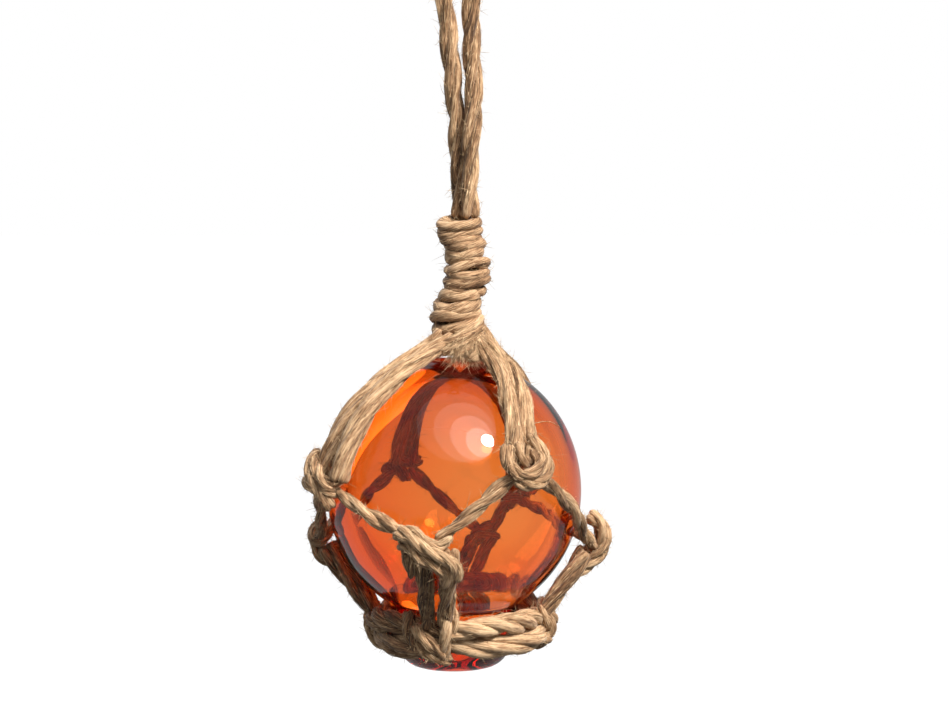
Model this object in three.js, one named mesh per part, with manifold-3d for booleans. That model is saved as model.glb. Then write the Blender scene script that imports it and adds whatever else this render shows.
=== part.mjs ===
// A small hollow glass float ball in a knotted jute net, hanging from its own loop of twine.
// Millimetres, +Z up, front towards -Y. The origin is the inside top of the hanging loop,
// where a hook would carry it. Azimuths run from the front (0) towards +X (90).

import * as THREE from 'three';
import Module from 'manifold-3d';
import { mergeVertices } from 'three/addons/utils/BufferGeometryUtils.js';

const wasm = await Module();
wasm.setup();

// The glass: a nearly round ball with the thick seal of its blow hole below
const BALL_RADIUS = 25.4;
const BALL_HALF_HEIGHT = 26.4;
const SEAL_RADIUS = 12.6;
const SEAL_DROP = 35.8;
const SEAL_SQUARENESS = 6;
const FILLET_POWER = 24;
const BALL_DROP = 139.2;
const GLASS_SEGMENTS = 30;
const BALL_POLAR_STEP = 12;
const SEAL_POLAR_START = 144;
const SEAL_POLAR_STEP = 4;

// The twine
const CORD_DIAMETER = 3.6;
const CORD_SIDES = 8;
const CORD_STEPS = 40;
const MESH_RADIUS = 1.45;
const STEM_RADIUS = 1.75;
const STEM_END_RADIUS = 1.2;
const RING_STRAND_RADIUS = 2.2;
const RING_STRAND_END_RADIUS = 1.1;
const GAP = 0.3;
const STRAND_SIDES = 6;
const STRAND_STEPS = { leg: 8, mesh: 5, stem: 6, ring: 7 };

// The whipped neck: heights above the ball's centre, the centre's lean and the outer radius
const NECK_BOTTOM = 30.7;
const NECK_TOP = 53.9;
const NECK_TURNS = 11;
const CORE_BOTTOM = 26.9;
const CORE_RADIUS = 3.2;
const CORE_BOTTOM_RADIUS = 2.4;
const NECK_SIDES = 10;
const ROWS_PER_TURN = 3;
const TURN_DEPTH = 0.55;
const TURN_TILT = 0.45;
const TURN_TILT_PHASE = 2.3;
const NECK_STATIONS = [
  { share: 0, x: 1.3, radius: 4.6 },
  { share: 0.13, x: 0.6, radius: 4.9 },
  { share: 0.28, x: 1.0, radius: 4.6 },
  { share: 0.43, x: 2.0, radius: 4.1 },
  { share: 0.57, x: 2.4, radius: 4.5 },
  { share: 0.7, x: 2.3, radius: 4.3 },
  { share: 0.84, x: 1.5, radius: 4.3 },
  { share: 1, x: 1.6, radius: 4.1 },
];

// The legs at the neck: how far down the ball they start, in degrees, how high they are lifted
// there, how soon they settle on the glass, and their parting and radius, until a share of
// their length where they are at their full radius
const LEG_START_POLAR = 7.6;
const LEG_LIFT_AT_NECK = 1.55;
const LEG_SETTLING = 10;
const LEG_SPREAD_AT_NECK = 1.25;
const LEG_RADIUS_AT_NECK = 1.1;
const LEG_FULL_SHARE = 2 / 3;
const LEG_DESCENT_POWER = 1.25;

// Where strands go into the knots, sideways and upwards from a knot's middle
const MESH_EXIT = [1.7, -1];
const MESH_ENTRY = [1.8, 1];
const STEM_EXIT_HEIGHT = -1;
const STEM_ENTRY = [1.6, 2];

// The net: each knot's azimuth, its height from the ball's centre, how far its middle stands
// off the glass, the tilt of its wraps and its half sizes along the wraps, across them and
// outwards. A leg comes down from its top azimuth to its foot, straight or in a bend, as two
// strands that part by the spread. The stems leave a middle knot beside its middle.
const KNOT_REACH = 28.4;
const WRAPS = 3;
const WRAP_DEPTH = 0.16;
const WRAP_ROWS = 9;
const WRAP_SEGMENTS = 12;
const CUT_MARGIN = 0.6;
const CUT_ROWS = 8;
const CUT_SEGMENTS = 8;
const UPPER_KNOTS = [
  {
    name: 'left', azimuth: -64, height: 3.7, lift: 3.2, tilt: 20, half: [6.6, 4.8, 3.1],
    leg: { top: -43, foot: -60, bend: 1, spread: 3.5, radius: 2.05 },
  },
  {
    name: 'right', azimuth: 31, height: 7.7, lift: 2.8, tilt: -35, half: [5.0, 4.7, 2.6],
    leg: { top: 64, foot: 31, bend: 1.6, spread: 1.8, radius: 1.6 },
  },
  {
    name: 'back_right', azimuth: 152, height: -4, lift: 2.6, tilt: 30, half: [4.0, 3.8, 2.4],
    leg: { top: 136, foot: 148, bend: 1, spread: 2.3, radius: 2 },
  },
  {
    name: 'back_left', azimuth: -152, height: 2.8, lift: 2.6, tilt: -25, half: [4.2, 4.2, 2.4],
    leg: { top: -150, foot: -152, bend: 1, spread: 1.8, radius: 1.6 },
  },
];
const MIDDLE_KNOTS = [
  {
    name: 'left', azimuth: -100, height: -11, lift: 3.2, tilt: 15, half: [4.2, 5.5, 2.8],
    stems: { aside: 0, spread: 2.3 },
  },
  {
    name: 'front', azimuth: -10, height: -7.2, lift: 2.9, tilt: 35, half: [6.6, 4.7, 2.8],
    stems: { aside: 1.6, spread: 2.7 },
  },
  {
    name: 'right', azimuth: 88, height: -11, lift: 3.6, tilt: -20, half: [4.4, 5.6, 3.4],
    stems: { aside: 0, spread: 2.4 },
  },
  {
    name: 'back', azimuth: 166, height: -14, lift: 2.6, tilt: 25, half: [4.2, 3.8, 2.4],
    stems: { aside: 0, spread: 2.3 },
  },
];
const RING_RADIUS = 16.2;
const RING_CENTRE_X = 1.2;
const RING_SLOPE = 12;
const RING_PARTING_AT_KNOT = 1.2;
const RING_TWIST_START = 60;
const RING_TWIST_END = 110;
const RING_KNOTS = [
  { name: 'left', azimuth: -95, height: -27.6, tilt: 10, half: [3.4, 5.2, 2.9] },
  { name: 'front', azimuth: -16, height: -27, tilt: -8, half: [3.8, 5.8, 3.1] },
  { name: 'right', azimuth: 78, height: -27, tilt: 12, half: [3.6, 5.3, 3.1] },
  { name: 'back', azimuth: 178, height: -27, tilt: -10, half: [3.4, 5.2, 2.9] },
];

// The hanging loop: up from the neck, over the bight and down again, from the origin
const LOOP_ROUTE = [
  [1.3, 1.4, -85.0], [1.2, 1.4, -81.0], [1.1, 1.3, -77.5], [1.0, 1.3, -73.5], [0.8, 1.3, -69.5],
  [0.5, 1.0, -65.5], [0.1, 0.5, -61.4], [-0.3, 0.3, -56.5], [-0.8, 0.1, -51.7], [-1.4, 0, -46.0],
  [-2.1, 0, -40.4], [-3.1, 0, -33.5], [-4.3, 0, -26.0], [-5.6, 0, -18.5], [-6.7, 0, -11.5],
  [-7.2, 0, -5.4], [-6.2, 0, -1.7], [-3.6, 0, 0.84], [0, 0, 1.8], [3.6, 0, 0.84],
  [6.2, 0, -1.7], [7.2, 0, -5.4], [6.9, 0, -11.5], [6.1, 0, -18.5], [5.2, 0, -26.0],
  [4.3, 0, -33.5], [3.6, 0, -40.4], [3.5, 0, -46.0], [3.6, -0.1, -51.7], [3.8, -0.3, -56.5],
  [3.9, -0.5, -61.4], [3.7, -1.0, -65.5], [3.4, -1.3, -69.5], [3.3, -1.3, -73.5],
  [3.2, -1.3, -77.5], [3.1, -1.4, -81.0], [3.1, -1.4, -85.0],
];

const JUTE = new THREE.Color(0.55, 0.4, 0.25);
const DARK_JUTE = new THREE.Color(0.42, 0.3, 0.19);
const AMBER = new THREE.Color(0.8, 0.33, 0.08);

const degrees = THREE.MathUtils.degToRad;
const mix = THREE.MathUtils.lerp;

function juteMesh(name, geometry, colour = JUTE) {
  const material = new THREE.MeshStandardMaterial({ color: colour, roughness: 0.95, metalness: 0 });
  const mesh = new THREE.Mesh(geometry, material);
  mesh.name = name;
  return mesh;
}

// A direction from the ball's centre, by its azimuth and its angle from the top
function direction(azimuth, polar) {
  const across = Math.sin(degrees(polar));
  const x = across * Math.sin(degrees(azimuth));
  const y = -across * Math.cos(degrees(azimuth));
  return new THREE.Vector3(x, y, Math.cos(degrees(polar)));
}

// How far the glass reaches in a direction: the ball and its seal, with a fillet between them
function glassReach(dir) {
  const across = Math.hypot(dir.x, dir.y);
  const ball = 1 / Math.hypot(across / BALL_RADIUS, dir.z / BALL_HALF_HEIGHT);
  if (dir.z >= 0) {
    return ball;
  }
  const wide = (across / SEAL_RADIUS) ** SEAL_SQUARENESS;
  const deep = (-dir.z / SEAL_DROP) ** SEAL_SQUARENESS;
  const seal = 1 / (wide + deep) ** (1 / SEAL_SQUARENESS);
  return (ball ** FILLET_POWER + seal ** FILLET_POWER) ** (1 / FILLET_POWER);
}

function makeGlass() {
  const polars = [];
  for (let polar = 0; polar < SEAL_POLAR_START; polar += BALL_POLAR_STEP) {
    polars.push(polar);
  }
  for (let polar = SEAL_POLAR_START; polar <= 180; polar += SEAL_POLAR_STEP) {
    polars.push(polar);
  }
  const outline = polars.map((polar) => {
    const dir = direction(90, polar);
    const reach = glassReach(dir);
    const onAxis = polar === 0 || polar === 180;
    return new THREE.Vector2(onAxis ? 0 : dir.x * reach, dir.z * reach);
  });
  const geometry = new THREE.LatheGeometry(outline.reverse(), GLASS_SEGMENTS);
  geometry.rotateX(Math.PI / 2);
  const material = new THREE.MeshStandardMaterial({ color: AMBER, roughness: 0.05, metalness: 0 });
  const mesh = new THREE.Mesh(geometry, material);
  mesh.name = 'glass_ball';
  return mesh;
}

// A closed skin over rows of points: each row has the same count, and both ends get a cap
function skin(rows) {
  const count = rows[0].length;
  const points = rows.flat();
  const middles = [rows[0], rows[rows.length - 1]].map((row) => {
    const middle = new THREE.Vector3();
    row.forEach((point) => middle.addScaledVector(point, 1 / count));
    return middle;
  });
  const faces = [];
  for (let row = 0; row < rows.length - 1; row += 1) {
    for (let i = 0; i < count; i += 1) {
      const next = (i + 1) % count;
      const [a, b] = [row * count + i, row * count + next];
      const [c, d] = [a + count, b + count];
      faces.push(a, b, d, a, d, c);
    }
  }
  const last = (rows.length - 1) * count;
  for (let i = 0; i < count; i += 1) {
    const next = (i + 1) % count;
    faces.push(points.length, next, i);
    faces.push(points.length + 1, last + i, last + next);
  }
  const geometry = new THREE.BufferGeometry().setFromPoints([...points, ...middles]);
  geometry.setIndex(faces);
  return geometry;
}

// A strand of twine along a path, with a radius at each share of its length
function strand(path, radiusAt, steps, sides = STRAND_SIDES) {
  const curve = new THREE.CatmullRomCurve3(path);
  const frames = curve.computeFrenetFrames(steps, false);
  const rows = [];
  for (let step = 0; step <= steps; step += 1) {
    const centre = curve.getPointAt(step / steps);
    const radius = radiusAt(step / steps);
    const row = [];
    for (let side = 0; side < sides; side += 1) {
      const turn = (2 * Math.PI * side) / sides;
      const point = centre.clone();
      point.addScaledVector(frames.normals[step], radius * Math.cos(turn));
      point.addScaledVector(frames.binormals[step], radius * Math.sin(turn));
      row.push(point);
    }
    rows.push(row);
  }
  return skin(rows);
}

function makeHangingLoop() {
  const route = LOOP_ROUTE.map(([x, y, z]) => new THREE.Vector3(x, y, z + BALL_DROP));
  const curve = new THREE.CatmullRomCurve3(route);
  const section = new THREE.Shape();
  section.absarc(0, 0, CORD_DIAMETER / 2, 0, 2 * Math.PI);
  const geometry = new THREE.ExtrudeGeometry(section, {
    curveSegments: CORD_SIDES / 2,
    steps: CORD_STEPS,
    extrudePath: curve,
  });
  return juteMesh('hanging_loop', geometry);
}

// The neck's centre and radius at a share of its height, eased between its stations
function neckAt(share) {
  const next = NECK_STATIONS.findIndex((station) => station.share >= share && station.share > 0);
  const [below, above] = [NECK_STATIONS[next - 1], NECK_STATIONS[next]];
  const way = THREE.MathUtils.smoothstep(share, below.share, above.share);
  return { x: mix(below.x, above.x, way), radius: mix(below.radius, above.radius, way) };
}

function neckRing(x, radius, height, tilt) {
  const ring = [];
  for (let side = 0; side < NECK_SIDES; side += 1) {
    const angle = (2 * Math.PI * side) / NECK_SIDES;
    const [across, back] = [radius * Math.cos(angle), radius * Math.sin(angle)];
    ring.push(new THREE.Vector3(x + across, back, height + tilt * Math.cos(angle)));
  }
  return ring;
}

// The whipping: turn upon turn of thin twine, each with a crest between two grooves, round
// a core of gathered strands that shows below it
function makeNeckWhipping() {
  const rows = [
    neckRing(neckAt(0).x, CORE_BOTTOM_RADIUS, CORE_BOTTOM, 0),
    neckRing(neckAt(0).x, CORE_RADIUS, NECK_BOTTOM, 0),
  ];
  const count = NECK_TURNS * ROWS_PER_TURN;
  for (let row = 0; row <= count; row += 1) {
    const share = row / count;
    const { x, radius } = neckAt(share);
    const inGroove = row % ROWS_PER_TURN === 0;
    const turn = Math.floor(row / ROWS_PER_TURN);
    const atEnd = row === 0 || row === count;
    const tilt = atEnd ? 0 : TURN_TILT * Math.sin(TURN_TILT_PHASE * turn);
    const reach = inGroove ? radius - TURN_DEPTH : radius;
    rows.push(neckRing(x, reach, mix(NECK_BOTTOM, NECK_TOP, share), tilt));
  }
  return juteMesh('neck_whipping', skin(rows));
}

// A knot's place and its own axes: along its wraps, across them and outwards from the ball
function placeKnot(knot, centre, outward) {
  const right = new THREE.Vector3(Math.cos(degrees(knot.azimuth)), Math.sin(degrees(knot.azimuth)), 0);
  const up = new THREE.Vector3().crossVectors(outward, right);
  const along = right.clone().multiplyScalar(Math.cos(degrees(knot.tilt)));
  along.addScaledVector(up, -Math.sin(degrees(knot.tilt)));
  const across = new THREE.Vector3().crossVectors(outward, along);
  return { ...knot, centre, right, up, axes: [along, across, outward] };
}

function placeBallKnot(knot) {
  const polar = THREE.MathUtils.radToDeg(Math.acos(knot.height / KNOT_REACH));
  const outward = direction(knot.azimuth, polar);
  const centre = outward.clone().multiplyScalar(glassReach(outward) + knot.lift);
  return placeKnot(knot, centre, outward);
}

function placeRingKnot(knot) {
  const centre = direction(knot.azimuth, 90).multiplyScalar(RING_RADIUS);
  centre.x += RING_CENTRE_X;
  centre.z = knot.height;
  return placeKnot(knot, centre, direction(knot.azimuth, 90 + RING_SLOPE));
}

// A knot's skin: an ellipsoid whose pole lies across the wraps, so that each wrap is a ridge
function knotSkin(knot, depth, margin, rows, segments) {
  const [along, across, outward] = knot.axes;
  const [halfAlong, halfAcross, halfOut] = knot.half.map((half) => half + margin);
  const rings = [];
  for (let row = 1; row < rows; row += 1) {
    const polar = (Math.PI * row) / rows;
    const ridge = Math.sqrt(Math.abs(Math.sin(WRAPS * polar)));
    const swell = 1 - depth * (1 - ridge);
    const ring = [];
    for (let segment = 0; segment < segments; segment += 1) {
      const angle = (2 * Math.PI * segment) / segments;
      const point = knot.centre.clone();
      point.addScaledVector(across, halfAcross * Math.cos(polar));
      point.addScaledVector(outward, swell * halfOut * Math.sin(polar) * Math.cos(angle));
      point.addScaledVector(along, swell * halfAlong * Math.sin(polar) * Math.sin(angle));
      ring.push(point);
    }
    rings.push(ring);
  }
  return skin(rings.reverse());
}

function asManifold(geometry) {
  const bare = geometry.clone();
  bare.deleteAttribute('normal');
  bare.deleteAttribute('uv');
  const merged = mergeVertices(bare);
  const vertProperties = new Float32Array(merged.attributes.position.array);
  const triVerts = new Uint32Array(merged.index.array);
  return new wasm.Manifold(new wasm.Mesh({ numProp: 3, vertProperties, triVerts }));
}

// Cuts a strand back to the knots that it runs into, and keeps its longest piece
function cutByKnots(geometry, knots) {
  let solid = asManifold(geometry);
  knots.forEach((knot) => {
    solid = solid.subtract(asManifold(knotSkin(knot, 0, CUT_MARGIN, CUT_ROWS, CUT_SEGMENTS)));
  });
  const pieces = solid.decompose().sort((a, b) => b.volume() - a.volume());
  const mesh = pieces[0].getMesh();
  const cut = new THREE.BufferGeometry();
  cut.setAttribute('position', new THREE.BufferAttribute(mesh.vertProperties, 3));
  cut.setIndex(new THREE.BufferAttribute(mesh.triVerts, 1));
  return cut;
}

// A point beside a knot's middle, where a strand goes in
function entry(knot, sideways, upwards) {
  const point = knot.centre.clone();
  point.addScaledVector(knot.right, sideways);
  point.addScaledVector(knot.up, upwards);
  return point;
}

// A taut path between two points, which runs straight except where the ball is in its way
function overGlass(from, to, radius, steps) {
  const path = [];
  for (let step = 0; step <= steps; step += 1) {
    const point = from.clone().lerp(to, step / steps);
    const lying = glassReach(point.clone().normalize()) + radius + GAP;
    path.push(point.setLength(Math.max(lying, point.length())));
  }
  return path;
}

// A leg's strand: out of the neck's underside, over the ball's shoulder and into its knot
function makeLegStrand(knot, side) {
  const { top, foot, bend, spread, radius } = knot.leg;
  const radiusAt = (share) => mix(LEG_RADIUS_AT_NECK, radius, Math.min(1, share / LEG_FULL_SHARE));
  const endPolar = THREE.MathUtils.radToDeg(Math.acos(knot.height / KNOT_REACH));
  const steps = STRAND_STEPS.leg;
  const path = [];
  for (let step = 0; step <= steps; step += 1) {
    const way = step / steps;
    const polar = mix(LEG_START_POLAR, endPolar, way ** LEG_DESCENT_POWER);
    const lifted = Math.exp((LEG_START_POLAR - polar) / LEG_SETTLING);
    const width = radiusAt(way);
    const parted = Math.max(mix(LEG_SPREAD_AT_NECK, spread, way ** 2), width + GAP / 2);
    const centreLine = direction(mix(foot, top, (1 - way) ** bend), polar);
    const reach = glassReach(centreLine) + width + GAP + LEG_LIFT_AT_NECK * lifted;
    const sideways = new THREE.Vector3(-centreLine.y, centreLine.x, 0).normalize();
    const point = centreLine.multiplyScalar(reach);
    point.addScaledVector(sideways, side * parted);
    point.x += neckAt(0).x * lifted;
    path.push(point);
  }
  return cutByKnots(strand(path, radiusAt, steps), [knot]);
}

// A ring strand: round the seal from knot to knot, twisted a little about its partner
function makeRingStrand(from, to, layer) {
  const steps = STRAND_STEPS.ring;
  const sweep = THREE.MathUtils.euclideanModulo(to.azimuth - from.azimuth, 360);
  const nearKnot = (share) => Math.abs(2 * share - 1) ** 3;
  const path = [];
  for (let step = 0; step <= steps; step += 1) {
    const way = step / steps;
    const offset = layer * mix(RING_STRAND_RADIUS + GAP / 2, RING_PARTING_AT_KNOT, nearKnot(way));
    const turn = degrees(mix(RING_TWIST_START, RING_TWIST_END, way));
    const out = RING_RADIUS + offset * Math.cos(turn);
    const point = direction(from.azimuth + way * sweep, 90).multiplyScalar(out);
    point.x += RING_CENTRE_X;
    point.z = mix(from.height, to.height, way) + offset * Math.sin(turn);
    path.push(point);
  }
  const radiusAt = (share) => mix(RING_STRAND_RADIUS, RING_STRAND_END_RADIUS, nearKnot(share));
  return cutByKnots(strand(path, radiusAt, steps), [from, to]);
}

const float = new THREE.Group();
float.position.z = -BALL_DROP;
float.add(makeGlass(), makeHangingLoop(), makeNeckWhipping());

const uppers = UPPER_KNOTS.map(placeBallKnot);
const middles = MIDDLE_KNOTS.map(placeBallKnot);
const rings = RING_KNOTS.map(placeRingKnot);
const tiers = { upper: uppers, middle: middles, ring: rings };
Object.entries(tiers).forEach(([tier, knots]) => {
  knots.forEach((knot) => {
    const geometry = knotSkin(knot, WRAP_DEPTH, 0, WRAP_ROWS, WRAP_SEGMENTS);
    float.add(juteMesh(`${tier}_knot_${knot.name}`, geometry));
  });
});

// Each upper knot hangs on a doubled leg, and its two strands part to the middle knots beside it
const sides = [['a', -1], ['b', 1]];
uppers.forEach((upper, i) => {
  sides.forEach(([letter, side]) => {
    float.add(juteMesh(`leg_${upper.name}_${letter}`, makeLegStrand(upper, side)));
    const middle = middles[(i + (side > 0 ? 1 : 0)) % middles.length];
    const from = entry(upper, side * MESH_EXIT[0], MESH_EXIT[1]);
    const to = entry(middle, -side * MESH_ENTRY[0], MESH_ENTRY[1]);
    const path = overGlass(from, to, MESH_RADIUS, STRAND_STEPS.mesh);
    const whole = strand(path, () => MESH_RADIUS, STRAND_STEPS.mesh);
    float.add(juteMesh(`mesh_${upper.name}_${letter}`, cutByKnots(whole, [upper, middle])));
  });
});

// Two strands go down from each middle knot to the ring below the ball
middles.forEach((middle, i) => {
  const below = rings[i];
  const { aside, spread } = middle.stems;
  sides.forEach(([letter, side]) => {
    const from = entry(middle, aside + side * spread, STEM_EXIT_HEIGHT);
    const to = entry(below, side * STEM_ENTRY[0], STEM_ENTRY[1]);
    const path = overGlass(from, to, STEM_RADIUS, STRAND_STEPS.stem);
    const radiusAt = (share) => mix(STEM_RADIUS, STEM_END_RADIUS, share ** 3);
    const whole = strand(path, radiusAt, STRAND_STEPS.stem);
    float.add(juteMesh(`stem_${middle.name}_${letter}`, cutByKnots(whole, [middle, below])));
  });
});

// The ring: two strands from each of its knots to the next
rings.forEach((from, i) => {
  const to = rings[(i + 1) % rings.length];
  [['upper', 1], ['lower', -1]].forEach(([word, layer]) => {
    const geometry = makeRingStrand(from, to, layer);
    float.add(juteMesh(`ring_${from.name}_${word}`, geometry, DARK_JUTE));
  });
});

export default float;
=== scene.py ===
"""A small hollow glass float ball in a knotted jute net, hanging from its own loop of twine.

A piece is worked out in millimetres from the ball's centre and becomes a mesh in metres in the
row frame. +Z is up and the front faces -Y. Azimuths run from the front (0) towards +X (90).
"""

import math

import bpy
import numpy as np
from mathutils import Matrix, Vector


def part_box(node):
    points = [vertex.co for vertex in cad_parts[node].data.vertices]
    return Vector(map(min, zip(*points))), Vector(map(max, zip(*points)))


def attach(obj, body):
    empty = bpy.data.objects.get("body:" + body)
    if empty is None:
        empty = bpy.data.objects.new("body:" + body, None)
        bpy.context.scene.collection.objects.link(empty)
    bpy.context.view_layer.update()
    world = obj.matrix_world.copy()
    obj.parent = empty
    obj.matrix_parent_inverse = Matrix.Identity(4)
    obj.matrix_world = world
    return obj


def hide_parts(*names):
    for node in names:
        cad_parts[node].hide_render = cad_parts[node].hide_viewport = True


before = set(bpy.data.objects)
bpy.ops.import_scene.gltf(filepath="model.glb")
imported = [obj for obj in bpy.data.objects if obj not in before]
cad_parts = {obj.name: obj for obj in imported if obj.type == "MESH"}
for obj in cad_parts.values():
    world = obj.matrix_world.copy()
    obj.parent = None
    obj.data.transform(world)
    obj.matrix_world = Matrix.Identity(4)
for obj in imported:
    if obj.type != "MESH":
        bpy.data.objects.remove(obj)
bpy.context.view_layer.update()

MM = 0.001
rng = np.random.default_rng(11)

# The camera: a long lens, level with the loop and looking a little down
CAMERA_PLACE = (0.004, -0.59474, -0.05561)
CAMERA_PITCH = 5.471
CAMERA_LENS = 113.9
CAMERA_SENSOR = 36
CAMERA_CLIP = (0.01, 50)

# The hanging loop's route, up from the neck, over the bight and down again, in metres
LOOP_ROUTE = [
    (0.0013, 0.0014, -0.085), (0.0012, 0.0014, -0.081), (0.0011, 0.0013, -0.0775),
    (0.001, 0.0013, -0.0735), (0.0008, 0.0013, -0.0695), (0.0005, 0.001, -0.0655),
    (0.0001, 0.0005, -0.0614), (-0.0003, 0.0003, -0.0565), (-0.0008, 0.0001, -0.0517),
    (-0.0014, 0, -0.046), (-0.0021, 0, -0.0404), (-0.0031, 0, -0.0335),
    (-0.0043, 0, -0.026), (-0.0056, 0, -0.0185), (-0.0067, 0, -0.0115),
    (-0.0072, 0, -0.0054), (-0.0062, 0, -0.0017), (-0.0036, 0, 0.00084), (0, 0, 0.0018),
    (0.0036, 0, 0.00084), (0.0062, 0, -0.0017), (0.0072, 0, -0.0054),
    (0.0069, 0, -0.0115), (0.0061, 0, -0.0185), (0.0052, 0, -0.026),
    (0.0043, 0, -0.0335), (0.0036, 0, -0.0404), (0.0035, 0, -0.046),
    (0.0036, -0.0001, -0.0517), (0.0038, -0.0003, -0.0565), (0.0039, -0.0005, -0.0614),
    (0.0037, -0.001, -0.0655), (0.0034, -0.0013, -0.0695), (0.0033, -0.0013, -0.0735),
    (0.0032, -0.0013, -0.0775), (0.0031, -0.0014, -0.081), (0.0031, -0.0014, -0.085),
]
CORD_DIAMETER = 0.0036
CORD_STEP = 0.6
CORD_LAY = 26

# The glass: its outside as in CAD, then the cavity and the hollow that it sends into the seal
BALL_RADIUS = 25.4
BALL_HALF_HEIGHT = 26.4
SEAL_RADIUS = 12.6
SEAL_DROP = 35.8
SEAL_SQUARENESS = 6
FILLET_POWER = 24
CAVITY_RADIUS = 22.3
CAVITY_CENTRE = (0.5, 0.0, 0.2)
SEAL_HOLLOW_DEPTH = 11.0
SEAL_HOLLOW_ANGLE = 20.0
AWAY_FROM_ZERO = 1e-15

# The waves of the two surfaces: height, waves along each axis, and phase
OUTER_WAVES = [(0.05, (3, 0, 5), 0), (0.04, (0, 6, 0), 1)]
CAVITY_WAVES = [(0.12, (4, 0, 2.5), 0.6), (0.08, (0, 7, -5), 0)]
OUTER_GRID = (120, 144)
CAVITY_GRID = (90, 120)

# How far the ball's centre is below the frame's origin, in millimetres
BALL_DROP = BALL_HALF_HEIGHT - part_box("glass_ball")[1].z / MM

# The twine: steps along it, sides of a ply, and how its fibres swell it. A ply's tone also shifts
# where its streaks are read, so that no two plies share them
STEP = 0.55
ROWS_BETWEEN_POINTS = 12
PLY_SIDES = 14
BUNDLE_SWELL = 0.07
FIBRE_SWELL = 0.045
TONE_WANDER = 0.05
TONE_SPREAD = 0.07
TONE_SHIFT = 50
GAP = 0.3

# For a rope's count of plies: a ply's radius and its distance from the middle, of the rope's radius
PLY_SHARES = {2: (0.6, 0.42), 3: (0.53, 0.5), 4: (0.46, 0.56)}
LAY_WANDER = 0.10
PLY_WANDER = 0.05

# The loose fibres: short ones that stand off and longer ones that lie along a ply
FUZZ_PER_MM = 3.6
STRAYS_PER_MM = 0.85
STRAY_POINTS = 7
STRAY_ROWS = (7, 16)
STRAY_LIFT = 0.10
FEWEST_ROWS_FOR_STRAYS = 12
FUZZ_SHARE = 1.0
FUZZ_ALONG = (0.3, 1.6)
FUZZ_OUTWARD = (0.25, 1.3)
FUZZ_SCATTER = 0.35
FUZZ_LENGTH_SHAPE = (1.8, 0.45)
SHORTEST_FUZZ = 0.3
FUZZ_BENDS = (0.1, 0.7)
HAIR_POINTS = 5
HAIR_SIDES = 3
HAIR_TAPER = 0.35
HAIR_CLEARANCE = 0.06
LONGEST_FUZZ = 2.8
FUZZ_RADII = (0.032, 0.06)
STRAY_RADII = (0.05, 0.1)


def unit(vectors):
    return vectors / np.linalg.norm(vectors, axis=-1, keepdims=True)


def direction(azimuth, polar):
    """A direction from the ball's centre, by its azimuth and its angle from the top, in degrees."""
    azimuth, polar = np.broadcast_arrays(np.radians(azimuth), np.radians(polar))
    across = np.sin(polar)
    return np.stack([across * np.sin(azimuth), -across * np.cos(azimuth), np.cos(polar)], axis=-1)


def glass_reach(dirs):
    """How far the glass reaches in each direction: the ball and its seal, with a fillet between."""
    across = np.hypot(dirs[..., 0], dirs[..., 1])
    rise = dirs[..., 2]
    ball = 1 / np.hypot(across / BALL_RADIUS, rise / BALL_HALF_HEIGHT)
    wide = (across / SEAL_RADIUS) ** SEAL_SQUARENESS
    deep = (np.maximum(-rise, 0) / SEAL_DROP) ** SEAL_SQUARENESS
    seal = 1 / (wide + deep + AWAY_FROM_ZERO) ** (1 / SEAL_SQUARENESS)
    joined = (ball**FILLET_POWER + seal**FILLET_POWER) ** (1 / FILLET_POWER)
    return np.where(rise >= 0, ball, joined)


def ripple(u, v, cells_u, cells_v):
    """Smooth noise that repeats over both u and v from 0 to 1."""
    grid = rng.standard_normal((cells_u, cells_v))
    x, y = u * cells_u, v * cells_v
    column, row = np.floor(x).astype(int), np.floor(y).astype(int)
    way_x, way_y = x - column, y - row
    way_x, way_y = way_x**2 * (3 - 2 * way_x), way_y**2 * (3 - 2 * way_y)
    left, right = column % cells_u, (column + 1) % cells_u
    low, high = row % cells_v, (row + 1) % cells_v
    below = grid[left, low] * (1 - way_x) + grid[right, low] * way_x
    above = grid[left, high] * (1 - way_x) + grid[right, high] * way_x
    return below * (1 - way_y) + above * way_y


def smooth(points, step=STEP, closed=False):
    """A Catmull-Rom curve through the points, in even steps."""
    points = np.asarray(points, float)
    if closed:
        spread = np.vstack([points[-1], points, points[0], points[1]])
    else:
        spread = np.vstack([2 * points[0] - points[1], points, 2 * points[-1] - points[-2]])
    t = np.linspace(0, 1, ROWS_BETWEEN_POINTS, endpoint=False)[:, None]
    rows = []
    for a, b, c, d in zip(spread, spread[1:], spread[2:], spread[3:]):
        cubic = 2 * b + (c - a) * t + (2 * a - 5 * b + 4 * c - d) * t**2
        rows.append((cubic + (3 * b - a - 3 * c + d) * t**3) / 2)
    rows.append(spread[-2][None])
    line = np.vstack(rows)
    arc = np.concatenate([[0], np.cumsum(np.linalg.norm(np.diff(line, axis=0), axis=1))])
    count = max(4, round(arc[-1] / step))
    even = np.linspace(0, arc[-1], count + 1)
    line = np.stack([np.interp(even, arc, line[:, axis]) for axis in range(3)], axis=1)
    return line[:-1] if closed else line


def slopes(line, closed):
    """The line's direction at each of its points."""
    if closed:
        return unit(np.roll(line, -1, axis=0) - np.roll(line, 1, axis=0))
    return unit(np.gradient(line, axis=0))


def frames(line, closed, reference):
    """A normal and a binormal for each point of a line: towards a reference, or free of twist."""
    tangents = slopes(line, closed)
    if reference is not None:
        normals = unit(reference - tangents * (tangents @ reference)[:, None])
        return normals, np.cross(tangents, normals)
    normals = np.empty_like(line)
    normal = np.cross(tangents[0], (0.3, 0.5, 0.8))
    for i, tangent in enumerate(tangents):
        normal = normal - tangent * (tangent @ normal)
        normal = normal / np.linalg.norm(normal)
        normals[i] = normal
    return normals, np.cross(tangents, normals)


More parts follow.
